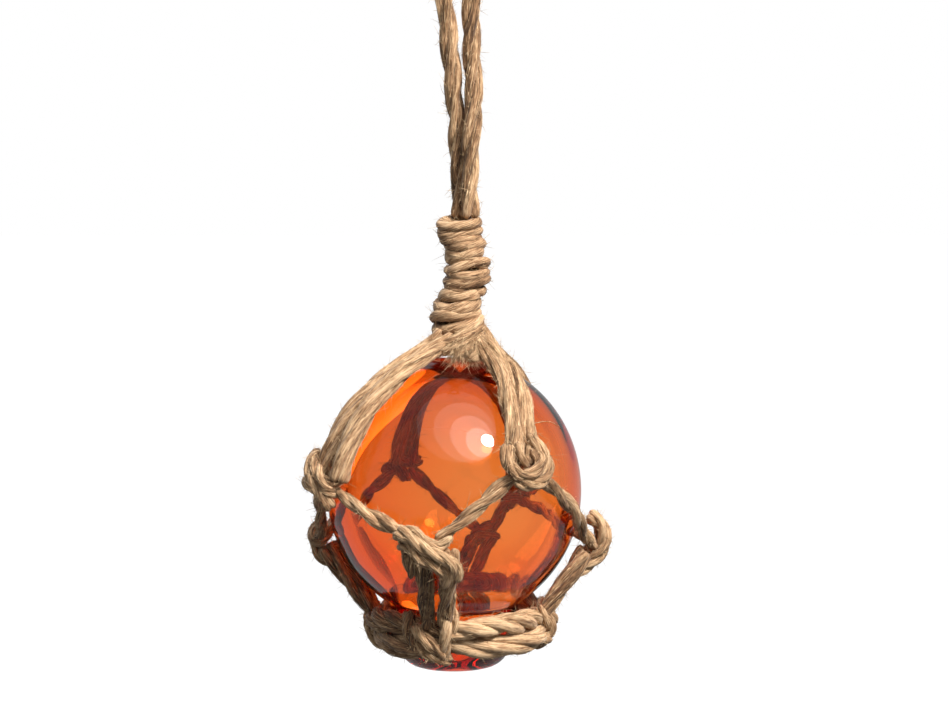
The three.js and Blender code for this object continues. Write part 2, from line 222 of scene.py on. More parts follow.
class Skein:
    """Plies of twine, and the places on them that loose fibres grow from."""

    def __init__(self):
        self.points, self.quads, self.triangles = [], [], []
        self.uvs, self.cap_uvs, self.tones = [], [], []
        self.count = 0
        self.roots, self.strays = [], []

    def ply(self, line, outward, sideways, deep, wide, spin, tone, closed=False):
        """Adds a ply: deep and wide are its half sizes outward and sideways, row by row."""
        rows, sides = len(line), PLY_SIDES
        gaps = np.linalg.norm(np.diff(line, axis=0), axis=1)
        arc = np.concatenate([[0], np.cumsum(gaps)])
        length = arc[-1] + (gaps.mean() if closed else 0)
        share = (arc / length)[:, None]
        theta = 2 * np.pi * np.arange(sides) / sides
        around = ((theta[None, :] + spin[:, None]) / (2 * np.pi)) % 1
        bundles = ripple(share, around, max(3, round(length / 6)), 5)
        fibres = ripple(share, around, max(4, round(length / 2.5)), 9)
        swell = 1 + BUNDLE_SWELL * bundles + FIBRE_SWELL * fibres
        if not closed:
            end = np.minimum(np.arange(rows), np.arange(rows)[::-1]) / 1.5
            swell = swell * np.sqrt(np.clip(end + 0.15, 0, 1))[:, None]
        out = (np.cos(theta)[None, :] * deep[:, None] * swell)[..., None] * outward[:, None, :]
        side = (np.sin(theta)[None, :] * wide[:, None] * swell)[..., None] * sideways[:, None, :]
        shell = line[:, None, :] + out + side
        first = self.count
        self.points.append(shell.reshape(-1, 3))
        shade = tone + TONE_WANDER * ripple(share, around, max(3, round(length / 5)), 4)
        self.tones.append(shade.ravel())
        last = rows if closed else rows - 1
        i, j = np.meshgrid(np.arange(last), np.arange(sides), indexing="ij")
        across, onward = (j + 1) % sides, (i + 1) % rows
        quads = np.stack([i * sides + j, i * sides + across, onward * sides + across,
                          onward * sides + j], axis=-1)
        self.quads.append(first + quads.reshape(-1, 4))
        girth = 2 * np.pi * (deep.mean() + wide.mean()) / 2
        steps_u = np.concatenate([arc, [length]])
        turn_v = np.concatenate([spin, [spin[-1]]]) / (2 * np.pi)
        corners = [(i, j), (i, j + 1), (i + 1, j + 1), (i + 1, j)]
        uv = [np.stack([steps_u[a], (b / sides + turn_v[a]) * girth], axis=-1) for a, b in corners]
        self.uvs.append((np.stack(uv, axis=2) + tone * TONE_SHIFT).reshape(-1, 2))
        self.count += rows * sides
        if not closed:
            self.cap(first, sides, line[0], tone, False)
            self.cap(first + (rows - 1) * sides, sides, line[-1], tone, True)
        self.seed(shell, outward, sideways, theta, line, spin, length)

    def cap(self, first, sides, middle, tone, at_end):
        """Closes a ply's end with a fan of triangles."""
        ring = first + np.arange(sides)
        onward = np.roll(ring, -1)
        centre = np.full(sides, self.count)
        order = [centre, ring, onward] if at_end else [centre, onward, ring]
        self.triangles.append(np.stack(order, axis=1))
        self.points.append(middle[None])
        self.tones.append(np.array([tone]))
        self.cap_uvs.append(np.zeros((sides * 3, 2)) + tone * TONE_SHIFT)
        self.count += 1

    def seed(self, shell, outward, sideways, theta, line, spin, length):
        """Picks where fibres stand off a ply, and where they lie loose along it."""
        rows, sides = shell.shape[:2]
        tangents = unit(np.gradient(line, axis=0))
        i = rng.integers(0, rows, round(length * FUZZ_PER_MM))
        j = rng.integers(0, sides, len(i))
        normal = np.cos(theta[j])[:, None] * outward[i] + np.sin(theta[j])[:, None] * sideways[i]
        self.roots.append((shell[i, j], normal, tangents[i]))
        if rows < FEWEST_ROWS_FOR_STRAYS:
            return
        starts = rng.integers(0, rows - STRAY_ROWS[0] - 1, round(length * STRAYS_PER_MM))
        arch = np.sin(np.linspace(0, np.pi, STRAY_POINTS))
        for start in starts:
            stop = min(rows - 1, start + rng.integers(*STRAY_ROWS))
            at = np.linspace(start, stop, STRAY_POINTS).round().astype(int)
            begin = rng.uniform(0, 2 * np.pi)
            angle = begin - spin[at] + np.linspace(0, rng.normal(0, 0.35), STRAY_POINTS)
            lift = 1.0 + STRAY_LIFT * arch * rng.uniform(0.2, 1.6)
            column = (angle / (2 * np.pi) * sides) % sides
            low = np.floor(column).astype(int) % sides
            way = (column - np.floor(column))[:, None]
            skin = shell[at, low] * (1 - way) + shell[at, (low + 1) % sides] * way
            self.strays.append(line[at] + (skin - line[at]) * lift[:, None])

    def mesh(self, name, material):
        """One mesh object of all the plies."""
        quads, triangles = np.vstack(self.quads), self.triangles
        parts = [quads] + ([np.vstack(triangles)] if triangles else [])
        uvs = np.vstack(self.uvs + self.cap_uvs)
        return make_mesh(name, np.vstack(self.points), parts, material, uvs, np.concatenate(self.tones))


def make_mesh(name, points, parts, material, uvs=None, tones=None):
    """A mesh object from points in millimetres and arrays of faces, each with its own corner count."""
    mesh = bpy.data.meshes.new(name)
    mesh.vertices.add(len(points))
    mesh.vertices.foreach_set("co", ((points - (0, 0, BALL_DROP)) * MM).astype(np.float32).ravel())
    corners = np.concatenate([part.ravel() for part in parts])
    totals = np.concatenate([np.full(len(part), part.shape[1]) for part in parts])
    mesh.loops.add(len(corners))
    mesh.loops.foreach_set("vertex_index", corners.astype(np.int32))
    mesh.polygons.add(len(totals))
    starts = np.concatenate([[0], np.cumsum(totals)[:-1]])
    mesh.polygons.foreach_set("loop_start", starts.astype(np.int32))
    mesh.polygons.foreach_set("loop_total", totals.astype(np.int32))
    mesh.polygons.foreach_set("use_smooth", np.ones(len(totals), bool))
    mesh.update(calc_edges=True)
    if uvs is not None:
        mesh.uv_layers.new(name="fibre")
        mesh.uv_layers["fibre"].data.foreach_set("uv", uvs.astype(np.float32).ravel())
    if tones is not None:
        mesh.attributes.new("tone", "FLOAT", "POINT")
        mesh.attributes["tone"].data.foreach_set("value", tones.astype(np.float32))
    mesh.materials.append(material)
    piece = bpy.data.objects.new(name, mesh)
    bpy.context.scene.collection.objects.link(piece)
    return piece


def lay_rope(skein, line, radius, plies=3, lay=30, tone=0.0, closed=False, reference=None):
    """Twists plies about a line: the rope's radius is a number or one for each point, and lay is
    the length of a full turn."""
    radius = np.broadcast_to(np.asarray(radius, float), len(line))
    gaps = np.linalg.norm(np.diff(line, axis=0), axis=1)
    arc = np.concatenate([[0], np.cumsum(gaps)])
    turns = arc[-1] / lay
    if closed:
        turns = round(turns)
    normals, binormals = frames(line, closed, reference)
    ply_share, orbit_share = PLY_SHARES[plies]
    begin = rng.uniform(0, 2 * np.pi)
    for number in range(plies):
        phase = begin + 2 * np.pi * (turns * arc / arc[-1] + number / plies)
        outward = np.cos(phase)[:, None] * normals + np.sin(phase)[:, None] * binormals
        slow = ripple(arc / arc[-1], np.zeros(len(arc)), max(3, round(arc[-1] / 7)), 3)
        centres = line + outward * (radius * (orbit_share * (1 + LAY_WANDER * slow)))[:, None]
        along = slopes(centres, closed)
        outward = unit(outward - along * np.sum(along * outward, axis=1)[:, None])
        sideways = np.cross(along, outward)
        ply_radius = radius * ply_share * (1 + PLY_WANDER * slow)
        shade = tone + rng.normal(0, TONE_SPREAD)
        skein.ply(centres, outward, sideways, ply_radius, ply_radius * 1.04, phase, shade, closed)


def hairs(points, radius):
    """Three-sided tubes along rows of points, each ending in a point. points is (hair, point, 3)."""
    count, steps = points.shape[:2]
    along = unit(np.gradient(points, axis=1))
    side = unit(np.cross(along, (0.31, 0.52, 0.79)))
    other = np.cross(along, side)
    size = radius[:, None] * np.linspace(1, HAIR_TAPER, steps)[None, :]
    rings = []
    for turn in range(HAIR_SIDES):
        angle = 2 * np.pi * turn / HAIR_SIDES
        rings.append(points + size[..., None] * (np.cos(angle) * side + np.sin(angle) * other))
    shell = np.stack(rings, axis=2)[:, :-1]
    body = shell.reshape(count, -1, 3)
    cloud = np.concatenate([body, points[:, -1:]], axis=1)
    each = cloud.shape[1]
    quads, triangles = [], [(0, 2, 1)]
    for step in range(steps - 2):
        for turn in range(HAIR_SIDES):
            onward = (turn + 1) % HAIR_SIDES
            low, high = step * HAIR_SIDES, (step + 1) * HAIR_SIDES
            quads.append((low + turn, low + onward, high + onward, high + turn))
    last = (steps - 2) * HAIR_SIDES
    for turn in range(HAIR_SIDES):
        triangles.append((last + turn, last + (turn + 1) % HAIR_SIDES, each - 1))
    first = (np.arange(count) * each)[:, None, None]
    quads = (first + np.array(quads)[None]).reshape(-1, 4)
    triangles = (first + np.array(triangles)[None]).reshape(-1, 3)
    return cloud.reshape(-1, 3), [quads, triangles]


def clear_of_glass(points):
    """Moves what lies in the glass out to just above its surface."""
    distance = np.linalg.norm(points, axis=-1, keepdims=True)
    reach = glass_reach(points / distance)[..., None] + HAIR_CLEARANCE
    return points * np.maximum(1, reach / distance)


def grow_fuzz(name, skeins, material):
    """The short fibres that stand off the twine, and those that lie loose along it."""
    roots = [np.vstack([roots[part] for skein in skeins for roots in skein.roots]) for part in range(3)]
    chosen = rng.random(len(roots[0])) < FUZZ_SHARE
    root, normal, tangent = [part[chosen] for part in roots]
    count = len(root)
    lean = rng.normal(0, 1, (count, 3))
    sense = rng.choice([-1, 1], count)[:, None]
    way = unit(tangent * sense * rng.uniform(*FUZZ_ALONG, (count, 1))
               + normal * rng.uniform(*FUZZ_OUTWARD, (count, 1)) + FUZZ_SCATTER * lean)
    length = np.minimum(rng.gamma(*FUZZ_LENGTH_SHAPE, count) + SHORTEST_FUZZ, LONGEST_FUZZ)
    bend = unit(rng.normal(0, 1, (count, 3))) * rng.uniform(*FUZZ_BENDS, (count, 1))
    t = np.linspace(0, 1, HAIR_POINTS)[None, :, None]
    points = root[:, None] + (way[:, None] * t + bend[:, None] * t**2) * length[:, None, None]
    points = clear_of_glass(points)
    cloud, parts = hairs(points, rng.uniform(*FUZZ_RADII, count))
    standing = make_mesh(name + "_fuzz", cloud, parts, material)
    strays = np.stack([stray for skein in skeins for stray in skein.strays])
    cloud, parts = hairs(clear_of_glass(strays), rng.uniform(*STRAY_RADII, len(strays)))
    lying = make_mesh(name + "_fibres", cloud, parts, material)
    return standing, lying


class Knot:
    """A knot's place, from its CAD node, with its own axes: right, up and out from the ball.

    Tilt turns along and across from right and up, and half holds the knot's half sizes on them.
    """

    def __init__(self, node, tilt, half, out_polar=None):
        low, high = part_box(node)
        self.node, self.half = node, half
        self.centre = np.array((low + high) / 2) / MM + (0, 0, BALL_DROP)
        azimuth = math.degrees(math.atan2(self.centre[0], -self.centre[1]))
        self.out = unit(self.centre) if out_polar is None else direction(azimuth, out_polar)
        self.right = np.array([math.cos(math.radians(azimuth)), math.sin(math.radians(azimuth)), 0])
        self.up = np.cross(self.out, self.right)
        lean = math.radians(tilt)
        self.along = self.right * math.cos(lean) - self.up * math.sin(lean)
        self.across = np.cross(self.out, self.along)
        self.azimuth = azimuth

    def at(self, right, up, out=0.0):
        """A point by its distances from the knot's centre."""
        return self.centre + self.right * right + self.up * up + self.out * out


RING_OUT_POLAR = 102
KNOTS = {
    "upper_knot_left": Knot("upper_knot_left", 20, (6.6, 4.8, 3.1)),
    "upper_knot_right": Knot("upper_knot_right", -35, (5.0, 4.7, 2.6)),
    "upper_knot_back_right": Knot("upper_knot_back_right", 30, (4.0, 3.8, 2.4)),
    "upper_knot_back_left": Knot("upper_knot_back_left", -25, (4.2, 4.2, 2.4)),
    "middle_knot_left": Knot("middle_knot_left", 15, (4.2, 5.5, 2.8)),
    "middle_knot_front": Knot("middle_knot_front", 35, (6.6, 4.7, 2.8)),
    "middle_knot_right": Knot("middle_knot_right", -20, (4.4, 5.6, 3.4)),
    "middle_knot_back": Knot("middle_knot_back", 25, (4.2, 3.8, 2.4)),
    "ring_knot_left": Knot("ring_knot_left", 10, (3.4, 5.2, 2.9), RING_OUT_POLAR),
    "ring_knot_front": Knot("ring_knot_front", -8, (3.8, 5.8, 3.1), RING_OUT_POLAR),
    "ring_knot_right": Knot("ring_knot_right", 12, (3.6, 5.3, 3.1), RING_OUT_POLAR),
    "ring_knot_back": Knot("ring_knot_back", -10, (3.4, 5.2, 2.9), RING_OUT_POLAR),
}
UPPER_NAMES = ["left", "right", "back_right", "back_left"]
MIDDLE_NAMES = ["left", "front", "right", "back"]
LEGS = {
    "left": {"top": -43, "foot": -60, "bend": 1, "spread": 3.4, "radius": 2.15},
    "right": {"top": 64, "foot": 31, "bend": 1.6, "spread": 1.9, "radius": 1.8},
    "back_right": {"top": 136, "foot": 148, "bend": 1, "spread": 2.3, "radius": 2.0},
    "back_left": {"top": -150, "foot": -152, "bend": 1, "spread": 1.8, "radius": 1.7},
}
# How much lighter or darker each piece's twine is: painted light on the left leg and the ring's front,
# painted shade on the stems below the ball and on the ring's left side
LEG_TONES_WITH_PAINTED_LIGHT = {"left": 0.1, "right": 0.05, "back_right": 0.03, "back_left": 0.0}
RING_PAINTED_LIGHT_AND_SHADE = {"left": -0.12, "front": 0.2, "right": 0.05, "back": -0.05}
STEM_PAINTED_SHADE = {"left": -0.12, "front": -0.14, "right": -0.1, "back": -0.12}
STEM_PARTING = {"left": (0, 2.3), "front": (1.6, 2.7), "right": (0, 2.4), "back": (0, 2.3)}
LEG_POINTS = 10
LEG_START_POLAR = 6.0
LEG_SETTLING = 10
LEG_LIFT_AT_NECK = 3.4
LEG_TOP_RADIUS = 1.3
LEG_FULL_SHARE = 2 / 3
LEG_DESCENT_POWER = 1.25
LEG_CLOSEST = 0.9
LEG_LAY = 46
NECK_FOOT_X = 1.3
MESH_RADIUS = 1.4
MESH_LAY = 15
MESH_ASIDE = (1.7, -1.8)
STEM_RADIUS = 1.8
STEM_LAY = 28
STEM_NARROWING = 0.4
STEM_FOOT_ASIDE = 1.6
RING_RADIUS = 16.2
RING_CENTRE_X = 1.2
RING_STRAND_RADIUS = 2.25
RING_STRAND_NARROWING = 0.7
RING_POINTS = 9
RING_LAYERS = [("upper", 1, 3, 18), ("lower", -1, 4, 40)]
RING_TWIST_START = 60
RING_TWIST = 50

# The neck: heights of its ends, and where its centre and its surface lie between them
NECK_BOTTOM = 30.7
NECK_TOP = 53.9
NECK_SHARES = [0, 0.13, 0.28, 0.43, 0.57, 0.7, 0.84, 1]
NECK_CENTRES = [1.3, 0.6, 1.0, 2.0, 2.4, 2.3, 1.5, 1.6]
NECK_RADII = [4.6, 4.9, 4.6, 4.1, 4.5, 4.3, 4.3, 4.1]


def over_glass(start, end, radius, steps=6):
    """A taut path between two points, straight except where the ball is in its way."""
    path = start + (end - start) * np.linspace(0, 1, steps + 1)[:, None]
    distance = np.linalg.norm(path, axis=1, keepdims=True)
    lying = glass_reach(path / distance)[:, None] + radius + GAP
    return smooth(path * np.maximum(1, lying / distance))


def leg_radius(leg, way):
    """A leg strand's radius, which grows to its full size on the way down."""
    return LEG_TOP_RADIUS + (leg["radius"] - LEG_TOP_RADIUS) * np.minimum(1, way / LEG_FULL_SHARE)


def leg_path(knot, leg, side):
    """Out of the neck's underside, over the ball's shoulder and into the knot."""
    end_polar = math.degrees(math.acos(knot.centre[2] / np.linalg.norm(knot.centre)))
    way = np.linspace(0, 1, LEG_POINTS)
    polar = LEG_START_POLAR + (end_polar - LEG_START_POLAR) * way**LEG_DESCENT_POWER
    settled = 1 - np.exp(-(polar - LEG_START_POLAR) / LEG_SETTLING)
    width = leg_radius(leg, way)
    parted = np.maximum(1 + (leg["spread"] - 1) * way**2, width * LEG_CLOSEST)
    azimuth = leg["foot"] + (leg["top"] - leg["foot"]) * (1 - way) ** leg["bend"]
    middle = direction(azimuth, polar)
    reach = glass_reach(middle) + width + GAP + LEG_LIFT_AT_NECK * (1 - settled)
    sideways = unit(np.stack([-middle[:, 1], middle[:, 0], np.zeros(LEG_POINTS)], axis=1))
    path = middle * reach[:, None] + sideways * (side * parted)[:, None]
    path[:, 0] += NECK_FOOT_X * (1 - settled)
    line = smooth(path)
    return line, leg_radius(leg, np.linspace(0, 1, len(line)))


def ring_path(start, end, layer):
    """Round the seal from knot to knot, twisted a little about its partner."""
    sweep = (end.azimuth - start.azimuth) % 360
    way = np.linspace(0, 1, RING_POINTS)
    gathered = np.abs(2 * way - 1) ** 3
    offset = layer * (RING_STRAND_RADIUS * (1 - gathered) + 1.0 * gathered)
    turn = np.radians(RING_TWIST_START + RING_TWIST * way)
    out = RING_RADIUS + offset * np.cos(turn)
    path = direction(start.azimuth + way * sweep, 90) * out[:, None]
    path[:, 0] += RING_CENTRE_X
    path[:, 2] = start.centre[2] + (end.centre[2] - start.centre[2]) * way + offset * np.sin(turn)
    line = smooth(path)
    share = np.linspace(0, 1, len(line))
    return line, RING_STRAND_RADIUS - RING_STRAND_NARROWING * np.abs(2 * share - 1) ** 3


# What each knot that shows from the front is tied of: the points of each turn, to the knot's
# right, up and out, then its radius, its plies and how dark it is. The darkest turns, at the lower left,
# carry painted shade
TURNS = {
    "upper_knot_right": [
        ([(1.1, 5.8, 0), (3.2, 3.0, 1.0), (4.2, -0.2, 1.2), (2.4, -3.2, 1.2), (-0.7, -3.7, 1.0),
          (-3.2, -2.4, 0.2)], 1.3, 3, 0.05),
        ([(-4.0, 4.4, 0), (-4.3, 0.8, 0.7), (-2.6, -1.8, 1.5), (0.2, -1.6, 2.0), (2.2, 0.6, 1.8),
          (1.6, 2.8, 0.4)], 1.25, 3, 0.0),
        ([(-2.0, 4.6, 0.4), (-1.6, 1.8, 1.2), (0.6, 0.2, 0.2)], 1.2, 2, -0.03),
    ],
    "middle_knot_front": [
        ([(-5.4, 0.6, -0.8), (-5.1, 2.8, 0.8), (-3.2, 2.6, 1.9), (0.2, 0.3, 2.5), (3.3, -1.5, 2.1),
          (5.2, -3.7, 1.2), (5.3, -6.9, 0)], 1.35, 3, 0.1),
        ([(-5.2, -1.2, -0.6), (-3.9, 0.6, 1.2), (-1.2, -1.6, 2.1), (1.5, -3.3, 1.9), (3.4, -5.4, 0.8),
          (3.2, -8.4, 0)], 1.3, 3, 0.06),
        ([(4.8, 2.2, 0.2), (2.6, 0.6, 1.2), (0.2, 1.6, 1.4), (-2.4, 3.4, 1.0), (-4.6, 3.0, -0.3)],
         1.1, 2, 0.03),
        # This turn is darkened as painted shade
        ([(-4.4, 0.0, 0.0), (-3.9, -2.6, 0.4), (-3.2, -6.5, 0.0)], 1.35, 3, -0.2),
    ],
    "middle_knot_right": [
        ([(-1.6, 6.0, -2.6), (-1.8, 5.4, 0.2), (-1.6, 3.0, 2.3), (-1.2, -0.2, 2.7), (-1.4, -3.4, 1.3),
          (-1.8, -6.4, -1.2)], 1.35, 3, 0.1),
        ([(1.4, 5.2, -2.2), (1.6, 4.4, 0.6), (1.4, 1.6, 2.2), (1.2, -1.6, 2.0), (1.0, -5.0, 0)],
         1.3, 3, 0.0),
        ([(-2.4, 1.8, -0.8), (-1.6, 0.6, 0.8), (0.4, 0.2, 1.2), (2.0, -0.6, 0.4)], 1.1, 2, 0.0),
        ([(-2.2, -1.6, -1.0), (-1.2, -2.2, 0.6), (0.8, -1.6, 0.8), (2.0, -0.4, -0.2)], 1.1, 2, -0.1),
    ],
    "ring_knot_front": [
        # This turn, at the knot's left, is darkened as painted shade
        ([(-5.6, 4.8, -1.2), (-5.2, 1.0, 0.2), (-3.6, -2.2, 0.9), (-0.8, -4.2, 0.4)], 1.4, 3, -0.22),
        ([(-3.8, -0.8, 0.6), (-1.8, -2.8, 1.6), (0.4, -4.0, 1.5), (2.8, -4.6, 0.2)], 1.2, 3, 0.0),
        ([(-4.2, 2.4, 0.4), (-2.6, 0.6, 1.6), (-0.6, -0.8, 2.1), (1.2, -2.6, 1.6), (2.0, -4.6, 0.2)],
         1.3, 3, 0.02),
        ([(1.2, -4.8, 0.4), (1.9, -1.2, 1.8), (2.4, 2.4, 2.1), (2.2, 5.2, 1.2), (1.0, 6.2, -0.6)],
         1.15, 3, 0.14),
        ([(3.5, 6.0, -0.4), (4.1, 3.6, 0.9), (3.6, 0.6, 0.9), (3.0, -1.4, 0.2)], 0.75, 2, 0.1),
    ],
}


KNOT_LAY = 13
KNOT_STRAND_RADIUS = 1.3
KNOT_INSET = 1.25


def tie_generic(skein, knot):
    """A knot of two turns round its strands and one turn over them."""
    along_half, across_half, out_half = (half - KNOT_INSET for half in knot.half)
    for offset, slant, tone in ((-0.5, 0.9, 0.0), (0.45, -0.7, 0.04)):
        t = np.linspace(0, 2 * np.pi, 12, endpoint=False)
        wide = along_half * 0.85
        loop = (knot.centre + knot.along * (wide * np.cos(t))[:, None]
                + knot.out * (out_half * np.sin(t) + 0.1)[:, None]
                + knot.across * (offset * across_half + slant * np.cos(t))[:, None])
        line = smooth(loop, closed=True)
        lay_rope(skein, line, KNOT_STRAND_RADIUS, 3, 12, tone, True, knot.across)
    over = [knot.centre + knot.along * a * along_half + knot.across * b * across_half + knot.out * c
            for a, b, c in ((-1.1, 0.9, -0.8), (-0.9, 0.5, 1.0), (0, 0, out_half + 0.5),
                            (0.9, -0.6, 1.0), (1.0, -1.0, -0.8))]
    lay_rope(skein, smooth(over), KNOT_STRAND_RADIUS, 3, 14, 0.06)


def tie(skein, knot):
    """A knot from its own turns where it has them, and the general one otherwise."""
    if knot.node not in TURNS:
        tie_generic(skein, knot)
        return
    for points, radius, plies, tone in TURNS[knot.node]:
        line = smooth([knot.at(*point) for point in points])
        lay_rope(skein, line, radius, plies, KNOT_LAY, tone)


def neck_at(height):
    """Where the neck's centre is sideways at a height, and its radius there."""
    share = (height - NECK_BOTTOM) / (NECK_TOP - NECK_BOTTOM)
    return np.interp(share, NECK_SHARES, NECK_CENTRES), np.interp(share, NECK_SHARES, NECK_RADII)


# The whipping's turns from the top down: height, rise to the right, rise to the back, half
# thickness, half height, reach past the neck's surface on the left and on the right, and tone
WHIPPING = [
    (53.3, 0.1, 0.3, 1.5, 1.1, 0.55, 0.0, 0.08),
    (51.6, 0.25, 0.5, 1.2, 1.1, 0.75, 0.05, 0.02),
    (50.1, 0.1, 0.1, 1.1, 1.05, 0.1, 0.0, -0.03),
    (48.7, 0.0, -0.5, 1.1, 1.15, -0.1, 0.0, 0.09),
    (47.2, 1.0, 0.4, 0.95, 1.1, -0.15, 0.1, 0.0),
    (46.2, -0.9, 0.2, 0.9, 1.0, 0.0, 0.2, 0.06),
    (44.6, 0.9, -0.5, 1.0, 1.05, 0.0, 0.35, -0.02),
    (43.4, -0.5, 0.4, 0.95, 1.0, 0.0, 0.45, 0.05),
    (42.0, 0.3, 0.5, 1.1, 1.1, 0.05, 0.8, -0.12),
    (40.4, -0.4, 0.3, 0.95, 1.0, 0.05, 0.3, -0.04),
    (38.8, 0.35, -0.4, 1.15, 1.3, 0.1, 0.25, 0.10),
    (36.8, 0.7, 0.5, 1.05, 1.4, 0.35, 0.0, 0.08),
    (35.0, 0.5, -0.2, 1.1, 1.35, 0.55, 0.0, 0.10),
    (32.9, 0.9, 0.4, 1.15, 1.3, 0.45, 0.05, -0.04),
    (31.2, 0.9, 0.2, 1.1, 1.2, 0.35, 0.0, -0.10),
]


WHIPPING_POINTS = 48
TURN_WANDER = 0.24
TURN_RISE_WANDER = 0.26
TURN_DEEP_SWELL = 0.06
TURN_TALL_SWELL = 0.08


def wind_whipping(skein):
    """The turns of thin twine round the neck, each a closed ring of its own."""
    t = np.linspace(0, 2 * np.pi, WHIPPING_POINTS, endpoint=False)
    share, still = t / (2 * np.pi), 0 * t
    for height, rise, rise_back, deep, tall, left, right, tone in WHIPPING:
        middle, radius = neck_at(height)
        bulge = np.where(np.cos(t) < 0, left, right) * np.cos(t) ** 2
        wander = TURN_WANDER * ripple(share, still, 6, 1)
        reach = radius - deep + bulge + wander
        outward = np.stack([np.cos(t), np.sin(t), still], axis=1)
        line = outward * reach[:, None]
        line[:, 0] += middle
        line[:, 2] = height + rise * np.cos(t) + rise_back * np.sin(t)
        line[:, 2] += TURN_RISE_WANDER * ripple(share, still, 5, 1)
        sideways = np.cross(slopes(line, True), outward)
        deep_rows = deep * (1 + TURN_DEEP_SWELL * ripple(share, still, 7, 1))
        tall_rows = tall * (1 + TURN_TALL_SWELL * ripple(share, still, 6, 1))
        skein.ply(line, outward, sideways, deep_rows, tall_rows, t, tone, True)


# The gathered strands that show between the whipping and the glass, as points from the
# ball's centre, and each one's radius
NECK_BUNDLE = [
    ([(-4.8, -1.2, 28.8), (-1.6, -2.6, 28.4), (2.4, -2.8, 28.4), (5.0, -1.4, 28.8)], 1.3),
    ([(5.2, -1.0, 34.6), (4.6, -3.6, 33.0), (1.4, -5.2, 31.0), (-2.4, -4.9, 29.2),
      (-5.4, -4.6, 27.6)], 1.25),
    ([(5.6, -1.8, 33.0), (3.8, -4.4, 31.4), (0.6, -5.3, 29.6), (-2.6, -5.2, 27.9)], 1.15),
    ([(5.9, -1.6, 31.2), (4.4, -4.4, 29.8), (2.0, -5.4, 28.3), (0.4, -5.9, 27.2)], 1.1),
    ([(4.6, -2.6, 31.6), (4.8, -4.6, 29.4), (4.4, -6.0, 27.4), (3.2, -7.2, 26.6)], 1.0),
    ([(-2.6, -3.2, 32.2), (-4.0, -3.6, 30.4), (-6.2, -4.0, 28.4)], 1.2),
    ([(5.0, 0.6, 33.0), (6.4, -0.8, 30.6), (7.4, -2.6, 28.4), (8.4, -4.6, 26.6)], 1.25),
    ([(5.2, 2.0, 32.4), (7.0, 1.2, 30.0), (8.4, -0.4, 27.8), (9.6, -2.4, 26.2)], 1.2),
    ([(3.0, 3.8, 32.0), (4.4, 5.2, 29.6), (5.8, 7.2, 27.4)], 1.2),
    ([(-1.6, 3.6, 32.0), (-2.8, 5.0, 29.6), (-3.8, 7.2, 27.6)], 1.2),
]
BUNDLE_LAY = 24
BUNDLE_TONE = 0.12
TUFT_HAIRS = 650
TUFT_LENGTHS = (1.2, 4.4)
TUFT_RADII = (0.04, 0.09)
STRAY_ON_GLASS = [(15.4, -13.4, 14.4), (17.2, -11.4, 14.7), (18.8, -9.2, 14.4), (20.3, -7.2, 13.5),
                  (21.6, -5.4, 12.2)]
STRAY_ON_GLASS_RADIUS = 0.1


def gather_bundle(skein):
    """The strands below the whipping."""
    for points, radius in NECK_BUNDLE:
        lay_rope(skein, smooth(points), radius, 3, BUNDLE_LAY, BUNDLE_TONE)


def grow_tuft(material):
    """The frayed end of a strand, spread over the top of the glass in front of the neck."""
    count = TUFT_HAIRS
    spread = rng.uniform(-1, 1, count)
    root = np.stack([2.4 + 2.6 * spread, -5.0 + 0.6 * rng.normal(0, 1, count),
                     29.2 + 0.9 * rng.normal(0, 1, count)], axis=1)
    way = unit(np.stack([0.5 * spread + rng.normal(0, 0.35, count), -0.75 + rng.normal(0, 0.25, count),
                         -0.75 + rng.normal(0, 0.45, count)], axis=1))
    length = rng.uniform(*TUFT_LENGTHS, count)
    bend = rng.normal(0, 0.35, (count, 3)) + (0, 0.15, -0.35)
    t = np.linspace(0, 1, HAIR_POINTS)[None, :, None]
    points = root[:, None] + (way[:, None] * t + bend[:, None] * t**2) * length[:, None, None]
    points = np.concatenate([points, [STRAY_ON_GLASS]])
    radii = np.append(rng.uniform(*TUFT_RADII, count), STRAY_ON_GLASS_RADIUS)
    cloud, parts = hairs(clear_of_glass(points), radii)
    return make_mesh("neck_tuft_fuzz", cloud, parts, material)


def finish_piece(piece, slot, *nodes):
    """Rides a piece on the root body and hides the nodes it replaces. The slot is not used."""
    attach(piece, "root")
    if nodes:
        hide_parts(*nodes)
    return piece


# ---- Materials ----

def new_material(name):
    """A material with an empty node tree, and that tree."""
    material = bpy.data.materials.new(name)
    material.use_nodes = True
    material.node_tree.nodes.clear()
    return material, material.node_tree


def add(tree, kind, **values):
    """A new node with its properties set."""
    node = tree.nodes.new(kind)
    for name, value in values.items():
        setattr(node, name, value)
    return node


# Jute: the colour from the darkest streak to the lightest, then the streaks, each with its
# scale along the fibre, its scale around and its detail
JUTE_RAMP = [
    (0.18, (0.06, 0.029, 0.012)),
    (0.44, (0.22, 0.118, 0.054)),
    (0.64, (0.41, 0.245, 0.128)),
    (0.92, (0.66, 0.46, 0.27)),
]
STREAKS = [(0.16, 1.7, 4), (0.5, 6.0, 3)]
STREAK_CONTRAST = 1.5
STREAK_SHIFT = STREAK_CONTRAST - 0.25
PATCH_SCALE = 170
PATCH_CONTRAST = 0.6
JUTE_BUMP_STRENGTH = 0.6
JUTE_BUMP_DISTANCE = 0.00022
HAIR_NOISE_SCALE = 900
HAIR_DARK = (0.35, (0.30, 0.18, 0.085))
HAIR_LIGHT = (0.62, (0.72, 0.52, 0.31))

# The glass: the colour that it lets through, and how dense the colouring is
GLASS_COLOUR = (0.94, 0.55, 0.05, 1)
GLASS_DENSITY = 600
GLASS_IOR = 1.5


def set_stop(stop, position, colour):
    """Sets a stop of a colour ramp."""
    stop.position = position
    stop.color = (*colour, 1)


